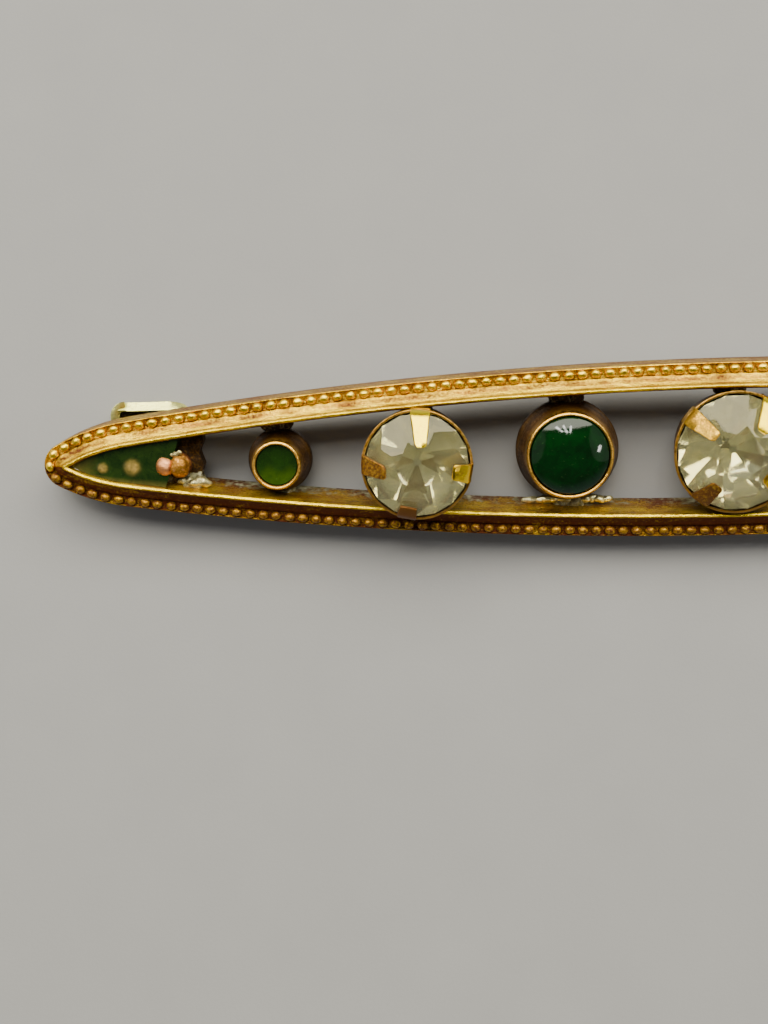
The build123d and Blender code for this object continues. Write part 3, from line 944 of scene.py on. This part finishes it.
def bare_bosses():
    """The large boss of each tip cell, bare of enamel: a copper lump and a brown one."""
    knob = Build()
    for side in (-1, 1):
        for shift, radius, top, brown in KNOBS:
            centre = (side * (boss_place(BOSSES[2]) + shift), -BOSS_DROP, PLATE_TOP)
            radii = (radius, 1.12 * radius, top - PLATE_TOP)
            points, faces = ball(centre, radii, 48, 32, seed=shift, lump=0.11, size=0.42)
            points = [Vector((p.x, p.y, top - KNOB_SQUASH * (top - p.z))) for p in points]
            rim = [0.3 * brown + 0.9 * max(0.0, (ENAMEL_TOP - p.z) / 0.3) for p in points]
            knob.add(points, faces, grime=rim, wear=1.6 * brown)
    knob.piece("tip_bosses", "gilt_brass", COPPER)


# Cups and cabochons
def cup_profile(radius, foot, top, floor):
    """Rows of a cup's turned section: radius, height, grime, wear."""
    inner = radius + STONE_GAP
    outer = inner + CUP_RIM
    rise = top - CUP_FOOT_TOP
    return (
        (AXIS_HOLE, CUP_BOTTOM, 0.8, 0),
        (foot - 0.05, CUP_BOTTOM, 0.8, 0),
        (foot - 0.01, CUP_BOTTOM + 0.05, 0.8, 0),
        (foot - 0.01, CUP_FOOT_TOP - 0.05, 0.7, 0),
        (foot - 0.05, CUP_FOOT_TOP + 0.02, 0.5, 0.2),
        (outer + 0.66 * (foot - outer), CUP_FOOT_TOP + 0.33 * rise, 0.6, 0),
        (outer + 0.3 * (foot - outer), CUP_FOOT_TOP + 0.7 * rise, 0.5, 0),
        (inner + 1.04 * CUP_RIM, top - 0.12, 0.1, 0.8),
        (outer, top - 0.07, -0.2, 1.3),
        (inner + 0.82 * CUP_RIM, top - 0.02, -0.4, 1.6),
        (inner + 0.5 * CUP_RIM, top, -0.4, 1.6),
        (inner + 0.2 * CUP_RIM, top - 0.02, -0.4, 1.6),
        (inner, top - 0.07, -0.2, 1.3),
        (inner, top - 0.2, 0.6, 0.2),
        (inner, floor, 1.0, 0),
        (AXIS_HOLE, floor, 1.0, 0),
    )


def add_lathe(build, profile, x, seed, **options):
    """Add a turned shape from rows of (radius, z, grime, wear), with painted shade below the
    middle.
    """
    points, faces = lathe([row[:2] for row in profile], x, seed=seed, **options)
    grime, wear = [], []
    for k, p in enumerate(points):
        _, _, dirt_and_shade, shine = profile[k % len(profile)]
        lower = unit(0.3 - 0.8 * p.y)
        grime.append(dirt_and_shade + LOWER_SIDE_SHADE * lower)
        wear.append(shine * (1 - LOWER_SIDE_HIGHLIGHT_LOSS * lower))
    build.add(points, faces, grime=grime, wear=wear)


def cups():
    build = Build()
    dot_cup = cup_profile(DOT_RADIUS, DOT_FOOT, DOT_TOP, CUP_BOTTOM + CUP_FLOOR)
    glass_cup = cup_profile(
        CABOCHON_RADIUS, CABOCHON_FOOT, CABOCHON_TOP, CABOCHON_TOP - CABOCHON_SIDE - STONE_GAP
    )
    for side in (-1, 1):
        add_lathe(build, dot_cup, side * DOT_PLACE, 2.0 + side, y=-DOT_DROP)
        add_lathe(build, glass_cup, side * CABOCHON_PLACE, 5.0 + side)
    build.piece("stone_cups", "gilt_brass", CUP_GILT, COARSE_WELD)


def cabochons():
    """A short cylinder under a low dome, for each large cup."""
    dome = (CABOCHON_RADIUS**2 + CABOCHON_DOME**2) / (2 * CABOCHON_DOME)
    low = CABOCHON_TOP - CABOCHON_SIDE
    half = asin(CABOCHON_RADIUS / dome)
    profile = [(AXIS_HOLE, low), (CABOCHON_RADIUS, low), (CABOCHON_RADIUS, CABOCHON_TOP - 0.08)]
    for k in range(DOME_STEPS):
        share = 1 - k / (DOME_STEPS - 1)
        radius = max(AXIS_HOLE, dome * sin(half * share) - DOME_EASE * share)
        drop = dome * (1 - cos(half * share))
        profile.append((radius, CABOCHON_TOP + CABOCHON_DOME - drop))
    for side, name in SIDES:
        build = Build(GREEN_PAINTS)
        build.add(*lathe(profile, side * CABOCHON_PLACE, wobble=0.01, seed=7.0))
        obj = build.piece("green_cabochon_" + name, "green_glass", EMERALD, COARSE_WELD)
        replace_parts(obj, "cabochon_" + name)


def dots():
    """A slightly dished disc for each small cup, with painted light brighter towards its lower rim.
    """
    top = DOT_TOP - DOT_SINK
    low = CUP_BOTTOM + CUP_FLOOR + STONE_GAP
    profile = [(AXIS_HOLE, low), (DOT_RADIUS, low), (DOT_RADIUS, top - 0.02)]
    for k in range(DOT_STEPS, 0, -1):
        share = k / DOT_STEPS
        profile.append((DOT_RADIUS * share, top - DOT_DISH * (1 - share**2)))
    profile.append((AXIS_HOLE, top - DOT_DISH))
    for side, name in SIDES:
        build = Build(GREEN_PAINTS)
        points, faces = lathe(profile, side * DOT_PLACE, -DOT_DROP, wobble=0.01, seed=3.0)
        edge = [p.y + DOT_DROP + 0.25 * noise.noise(p / 0.35) for p in points]
        build.add(points, faces, glow=[0.9 * unit(-y / 0.5) for y in edge])
        obj = build.piece("green_dot_" + name, "green_enamel", DOT_GREEN, COARSE_WELD)
        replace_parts(obj, "dot_" + name)


# Pastes
def girdle_corner(radius):
    return radius / cos(pi / 16)


def facet_planes(radius):
    """(outward direction, distance, is at the back) of each facet, for a girdle at z = 0."""
    corner = girdle_corner(radius)
    half = GIRDLE / 2
    high = half + (corner - TABLE_SHARE * radius) * tan(radians(CROWN_ANGLE))
    deep = half + (corner - CULET_RADIUS) * tan(radians(PAVILION_ANGLE))
    star = TABLE_SHARE * radius * cos(pi / 8)
    # Columns: how many, direction of the first, distance and height of a point on it, slope, back
    kinds = (
        (1, 0, 0, high, 0, False),
        (1, 0, 0, -deep, 180, True),
        (8, 0, corner, half, CROWN_ANGLE, False),
        (8, 0, corner, -half, 180 - PAVILION_ANGLE, True),
        (8, 22.5, star, high, STAR_ANGLE, False),
        (16, 11.25, radius, half, GIRDLE_FACET_ANGLE, False),
        (16, 11.25, radius, -half, 180 - LOWER_GIRDLE_ANGLE, True),
        (16, 11.25, radius, 0, 90, False),
    )
    planes = []
    for count, start, distance, z, slope, back in kinds:
        for k in range(count):
            turn = radians(start + k * 360 / count)
            out = toward(turn, radians(slope))
            at = Vector((distance * cos(turn), distance * sin(turn), z))
            planes.append((out, out.dot(at), back))
    return planes


def clipped(polygon, out, distance):
    """The part of a polygon behind a plane."""
    kept = []
    for a, b in zip(polygon, polygon[1:] + polygon[:1]):
        da, db = out.dot(a) - distance, out.dot(b) - distance
        if da <= 1e-9:
            kept.append(a)
        if (da < -1e-9 and db > 1e-9) or (da > 1e-9 and db < -1e-9):
            kept.append(a + (b - a) * (da / (da - db)))
    return kept


def brilliant(radius, turn, x, girdle):
    """Points, facets and the numbers of the back facets of a stone."""
    planes = facet_planes(radius)
    points, faces, backs = [], [], []
    place = Matrix.Translation((x, 0, girdle)) @ Matrix.Rotation(radians(turn), 4, "Z")
    size = 4 * radius
    for out, distance, back in planes:
        u = out.orthogonal().normalized()
        v = out.cross(u)
        corners = ((1, 1), (-1, 1), (-1, -1), (1, -1))
        polygon = [out * distance + size * (a * u + b * v) for a, b in corners]
        for other, limit, _ in planes:
            if other is not out and polygon:
                polygon = clipped(polygon, other, limit)
        if len(polygon) > 2:
            if back:
                backs.append(len(faces))
            faces.append(tuple(range(len(points), len(points) + len(polygon))))
            points += [place @ p for p in polygon]
    return points, faces, backs


def pastes():
    """The three stones, with foil on their back facets. Their mains lie under the first claw."""
    wear_of_foil = random.Random(5)
    for name, x, radius, girdle, rows in PASTES:
        points, faces, backs = brilliant(radius, rows[0][0], x, girdle)
        obj = piece("stone_" + name, points, faces, PASTE, smooth=False)
        tarnish = obj.data.attributes.new("tarnish", "FLOAT", "FACE")
        tarnish.data.foreach_set("value", [wear_of_foil.choice(FOIL_TARNISH) for _ in faces])
        obj.data.materials.append(FOIL)
        for k in backs:
            obj.data.polygons[k].material_index = 1
        weld(obj, COARSE_WELD, crisp=0.01)
        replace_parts(obj, "paste_" + name)


# Collets and claws
def collet_profile(radius, girdle):
    """Rows of a collet's turned section: radius, height, grime, wear."""
    inner = girdle_corner(radius) + STONE_GAP
    outer = inner + COLLET_WALL
    base = outer - COLLET_TAPER
    top = girdle + GIRDLE / 2
    rise = top - COLLET_BOTTOM
    floor = COLLET_BOTTOM + COLLET_FLOOR
    seat = girdle - GIRDLE / 2 - STONE_GAP
    return (
        (AXIS_HOLE, COLLET_BOTTOM, 0.8, 0),
        (base - 0.04, COLLET_BOTTOM, 0.8, 0),
        (base, COLLET_BOTTOM + 0.05, 0.8, 0),
        (base + 0.3 * COLLET_TAPER, COLLET_BOTTOM + 0.3 * rise, 0.8, 0),
        (base + 0.6 * COLLET_TAPER, COLLET_BOTTOM + 0.6 * rise, 0.7, 0),
        (outer - 0.02, top - 0.12, 0.5, 0.2),
        (outer, top - 0.03, 0.1, 0.9),
        (outer - 0.03, top, 0.0, 1.0),
        (inner + 0.02, top, 0.1, 0.8),
        (inner, top - 0.03, 0.6, 0.2),
        (inner, seat, 1.0, 0),
        (inner - 0.3, seat - 0.38, 1.0, 0),
        (base - 0.28, floor, 1.0, 0),
        (AXIS_HOLE, floor, 1.0, 0),
    )


def claw_route(radius, girdle, reach):
    """(distance from the axis, height) pairs up the ring, over its edge and along the crown."""
    corner = girdle_corner(radius)
    slope = tan(radians(CROWN_ANGLE))
    half = CLAW_THICKNESS / 2
    outer = corner + STONE_GAP + COLLET_WALL - half
    fold = outer - CLAW_FOLD
    over = girdle + GIRDLE / 2 + CLAW_GAP + half / cos(radians(CROWN_ANGLE))
    tip = radius - CLAW_REACH * reach
    route = [(outer, girdle - 0.45), (outer, girdle - 0.1), (outer - 0.01, girdle + 0.1)]
    route += [(outer - 0.05, girdle + 0.2), (fold, over + (corner - fold) * slope - 0.01)]
    for k in range(1, CLAW_STEPS + 1):
        distance = fold + (tip - fold) * k / CLAW_STEPS
        lift = CLAW_ARCH * sin(pi * k / CLAW_STEPS)
        route.append((distance, over + (corner - distance) * slope + lift))
    return route


def claw(radius, girdle, x, direction, reach, bend):
    """A flat tapered strip that rises from the ring and folds over the crown."""
    route = claw_route(radius, girdle, reach)
    last = len(route) - 1
    crown = last - CLAW_STEPS
    turn = radians(direction)
    points = []
    for k, (distance, z) in enumerate(route):
        before, after = route[max(0, k - 1)], route[min(last, k + 1)]
        run = Vector((after[0] - before[0], after[1] - before[1])).normalized()
        up = Vector((run.y, -run.x))
        share = max(0.0, (k - crown) / CLAW_STEPS)
        wide = (CLAW_WIDTH + (CLAW_TIP_WIDTH - CLAW_WIDTH) * share * reach) / 2
        thick = CLAW_THICKNESS / 2 * (1 - CLAW_THINNING * share)
        if k == last:
            wide *= 0.7
            thick *= 0.5
        for a, b in CLAW_SECTION:
            r = distance + up.x * b * thick
            side = a * wide + bend * share
            p = Vector((
                x + r * cos(turn) - side * sin(turn),
                r * sin(turn) + side * cos(turn),
                z + up.y * b * thick,
            ))
            points.append(p + rough(p, 0.5, 0.015, direction))
    return points, tube(points, len(CLAW_SECTION))


def collets():
    """The rings round the pastes, and their claws."""
    rings = Build()
    claws = Build()
    for _, x, radius, girdle, rows in PASTES:
        add_lathe(rings, collet_profile(radius, girdle), x, 4.0 + x)
        for *shape, dirt_and_shade, shine in rows:
            points, faces = claw(radius, girdle, x, *shape)
            under = [k % len(CLAW_SECTION) < CLAW_UNDERSIDE for k in range(len(points))]
            # The underside is painted in shade
            grime = [UNDERSIDE_SHADE if low else dirt_and_shade for low in under]
            wear = [0.0 if low else shine for low in under]
            claws.add(points, faces, grime=grime, wear=wear)
    rings.piece("collets", "gilt_brass", CUP_GILT, COARSE_WELD)
    claws.piece("claws", "gilt_brass", CLAW_GILT)


# Solder
def add_joints(build):
    """Three lumps on each side of each cup and collet, which join it to the rails."""
    feet = (
        (DOT_PLACE, DOT_FOOT), (PASTE_PLACE, SIDE_RADIUS - 0.1),
        (CABOCHON_PLACE, CABOCHON_FOOT), (0.0, CENTRE_RADIUS),
    )
    for place, foot in feet:
        for x in sorted({place, -place}):
            for side in (1, -1):
                wall = half_width_at(x)
                deep = (wall - foot) / 2 + 0.28
                for k in range(3):
                    shift = (k - 1) * 0.34 + random.uniform(-0.08, 0.08)
                    radii = (random.uniform(0.3, 0.48), deep, random.uniform(0.36, 0.5))
                    height = 0.68 + random.uniform(-0.1, 0.12)
                    centre = (x + shift, side * (foot + wall) / 2, height)
                    points, faces = ball(centre, radii, 24, 16, seed=x + k, lump=0.16)
                    dull = [0.85 + 0.5 * noise.noise(p / 0.3) for p in points]
                    # The lumps by the upper rail stay dark brown as painted shade; those by the
                    # lower rail are grey solder
                    build.add(points, faces, grime=dull, solder=0.0 if side > 0 else 0.8)


def add_cup_crumbs(build, side):
    """Pale crumbs in a ragged line under a large cup."""
    for k in range(18):
        across = random.uniform(-1.7, 1.7)
        size = random.uniform(0.13, 0.2)
        y = -2.2 - random.uniform(0.0, 0.08)
        centre = (side * CABOCHON_PLACE + across, y, random.uniform(0.8, 0.95))
        radii = (2.4 * size, size, size)
        lump = ball(centre, radii, 24, 16, seed=k, lump=0.08)
        build.add(*lump, wear=0.9, solder=random.choice((0.0, 0.0, 0.6)))


def add_cell_crumbs(build, side):
    """Crumbs along the rail at the broken end of a tip cell, and three above its bare boss."""
    for k in range(6):
        x = CELL_TIP - PLATE_LENGTH + 0.2 + 0.16 * k + random.uniform(-0.06, 0.06)
        y = -half_width_at(x) + random.uniform(0.12, 0.32)
        size = random.uniform(0.15, 0.24)
        centre = (side * x, y, 1.36 + random.uniform(0.0, 0.22))
        radii = (2.2 * size, size, size)
        points, faces = ball(centre, radii, 32, 20, seed=k, lump=0.14, size=0.34)
        dull = [0.45 + 0.7 * noise.noise(p / 0.28) for p in points]
        build.add(points, faces, grime=dull, wear=0.3)
    for k in range(3):
        centre = (side * (boss_place(BOSSES[2]) - 0.12 - 0.12 * k), 0.4 + 0.06 * k, 1.92)
        lump = ball(centre, (0.14, 0.1, 0.12), 24, 16, seed=k, lump=0.1, size=0.12)
        build.add(*lump, grime=0.35, wear=0.2)


def solder_lumps():
    build = Build()
    add_joints(build)
    for add_crumbs in (add_cup_crumbs, add_cell_crumbs):
        for side in (-1, 1):
            add_crumbs(build, side)
    build.piece("solder_lumps", "gilt_brass", SOLDER)


# Findings
def catch_strip():
    """Points, faces and grime of a strip curled into a C, with rounded corners on its lip and
    painted shade in its hollow.
    """
    stations, across = CATCH_GRID
    half = CATCH_LENGTH / 2
    middle = FINDING_RADIUS - SKIN - CATCH_THICKNESS / 2
    arc = radians(CATCH_TO - CATCH_FROM) * middle
    points = []
    for level in (1, -1):
        end = CATCH_TO - (LIP_BEVEL if level > 0 else 0)
        for i in range(stations):
            share = i / (stations - 1)
            left = (1 - share) * arc
            cut = 0.0
            if left < CATCH_CORNER:
                rest = CATCH_CORNER**2 - (CATCH_CORNER - left) ** 2
                cut = CATCH_CORNER - sqrt(max(0.0, rest))
            angle = radians(CATCH_FROM + (end - CATCH_FROM) * share)
            dented = share > 0.1 and angle < CATCH_REST[0] or angle > CATCH_REST[1]
            for j in range(across):
                v = 2 * j / (across - 1) - 1
                rounding = 0.04 * (max(0.0, abs(v) - 0.9) / 0.1) ** 2
                radius = middle + level * (CATCH_THICKNESS / 2 - rounding)
                y = FINDING_ACROSS + radius * cos(angle)
                z = FINDING_HEIGHT + radius * sin(angle)
                p = Vector((v * (half - cut) - FINDING_PLACE, y, z))
                points.append(p + rough(p, 1.0, 0.012) if dented else p)
    top = len(points) // 2
    faces = grid(stations, across)
    flipped = grid(stations, across, flip=True)
    faces += [tuple(top + k for k in face) for face in flipped]
    rim = [i * across for i in range(stations)]
    rim += [(stations - 1) * across + j for j in range(1, across)]
    rim += [i * across + across - 1 for i in range(stations - 2, -1, -1)]
    rim += list(range(across - 2, 0, -1))
    for a, b in zip(rim, rim[1:] + rim[:1]):
        faces.append((a, b, top + b, top + a))
    # The outside stays clean; the inside is painted in shade, all but the last two rows at the lip
    grime = [-0.2] * top + [1.0 if k < top - 2 * across else 0.04 for k in range(top)]
    return points, faces, grime


def catch_end_wall():
    """Points and faces of the wall that closes the outer end and runs round the lip's corner."""
    half, radius, corner = CATCH_LENGTH / 2, FINDING_RADIUS - SKIN, CATCH_CORNER
    high = radius * sin(radians(CATCH_TO)) - 0.01
    route = []
    for first, y in ((pi / 2, radius - corner), (pi, corner - radius)):
        for k in range(CORNER_STEPS + 1):
            out = polar(first + pi / 2 * k / CORNER_STEPS)
            route.append((Vector((corner - half, y)) + corner * out, out))
    points = []
    for place, out in route:
        for inset, share in END_WALL:
            p = place - inset * out
            low = -sqrt(max(0.0, (radius - 0.01) ** 2 - p.y**2))
            low = min(low, high - 0.02)
            z = low + (high - low) * share
            points.append((p.x - FINDING_PLACE, p.y + FINDING_ACROSS, z + FINDING_HEIGHT))
    return points, tube(points, len(END_WALL))


def catch():
    build = Build()
    points, faces, grime = catch_strip()
    build.add(points, faces, grime=grime, wear=0.7)
    build.add(*catch_end_wall(), grime=-0.1, wear=0.7)
    build.piece("catch", "gilt_brass", CATCH_METAL)


def hinge():
    """A plain barrel that the stem goes into."""
    build = Build()
    half = HINGE_LENGTH / 2
    radius = FINDING_RADIUS - SKIN
    floor = SOCKET_DEPTH - half
    profile = (
        (AXIS_HOLE, half, 0.6, 0),
        (radius - HINGE_EDGE, half, 0.3, 0.6),
        (radius, half - HINGE_EDGE, 0.3, 0.6),
        (radius, HINGE_EDGE - half, 0.3, 0.6),
        (radius - HINGE_EDGE, -half, 0.3, 0.6),
        (SOCKET_RADIUS, -half, 0.5, 0.4),
        (SOCKET_RADIUS, floor, 1.0, 0),
        (AXIS_HOLE, floor, 1.0, 0),
    )
    turned, faces = lathe([row[:2] for row in profile], 0.0, sides=64, wobble=0.0)
    points = [(FINDING_PLACE + p.z, FINDING_ACROSS + p.y, FINDING_HEIGHT - p.x) for p in turned]
    rows = [profile[k % len(profile)] for k in range(len(points))]
    build.add(points, faces, grime=[row[2] for row in rows], wear=[row[3] for row in rows])
    build.piece("hinge_barrel", "gilt_brass", CATCH_METAL, COARSE_WELD)


def dress_stem():
    """The stem keeps its solid and gets a pale tarnished metal."""
    material = gilt("stem_metal", (0.8, 0.74, 0.52), (0.72, 0.62, 0.4), roughness=0.25, dirt_and_shade=0.4)
    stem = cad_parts["pin_stem"]
    for slot in stem.material_slots:
        slot.material = material


# Floor, light and camera
def floor():
    half = FLOOR_HALF
    corners = [(-half, -half, 0), (half, -half, 0), (half, half, 0), (-half, half, 0)]
    mesh = bpy.data.meshes.new("floor")
    mesh.from_pydata(corners, [], [(0, 1, 2, 3)])
    mesh.materials.append(pale_floor())
    placed("floor", mesh)


def area_light(name, place, size, power, colour, shape="RECTANGLE"):
    data = bpy.data.lights.new(name, "AREA")
    data.shape = shape
    data.size, data.size_y = size
    data.energy = power
    data.color = colour
    obj = placed(name, data)
    obj.location = place
    obj.rotation_euler = (Vector((0, 0, 0)) - Vector(place)).to_track_quat("-Z", "Y").to_euler()


def light():
    """A plain pale sky and the lights."""
    world = bpy.data.worlds.new("studio")
    bpy.context.scene.world = world
    world.use_nodes = True
    tree = world.node_tree
    direction = new_node(tree, "TexCoord").outputs["Generated"]
    height = new_node(tree, "SeparateXYZ", Vector=direction).outputs["Z"]
    strength = ranged(tree, height, *SKY_FADE)
    feed_inputs(tree, tree.nodes["Background"], Color=SKY_COLOUR, Strength=strength)
    for row in LIGHTS:
        area_light(*row)


def camera():
    data = bpy.data.cameras.new("camera")
    data.sensor_width = SENSOR
    data.lens = SENSOR * CAMERA_FOCUS_PIXELS / IMAGE_HEIGHT_PIXELS
    data.clip_start, data.clip_end = CAMERA_CLIP
    obj = placed("camera", data)
    obj.location = MM * Vector(CAMERA_PLACE)
    obj.rotation_euler = [radians(angle) for angle in CAMERA_TURN]
    bpy.context.scene.camera = obj


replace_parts(rails(), "frame")
beads()
tip_cells()
bare_bosses()
cups()
cabochons()
dots()
pastes()
collets()
solder_lumps()
catch()
hinge()
dress_stem()
floor()
light()
camera()
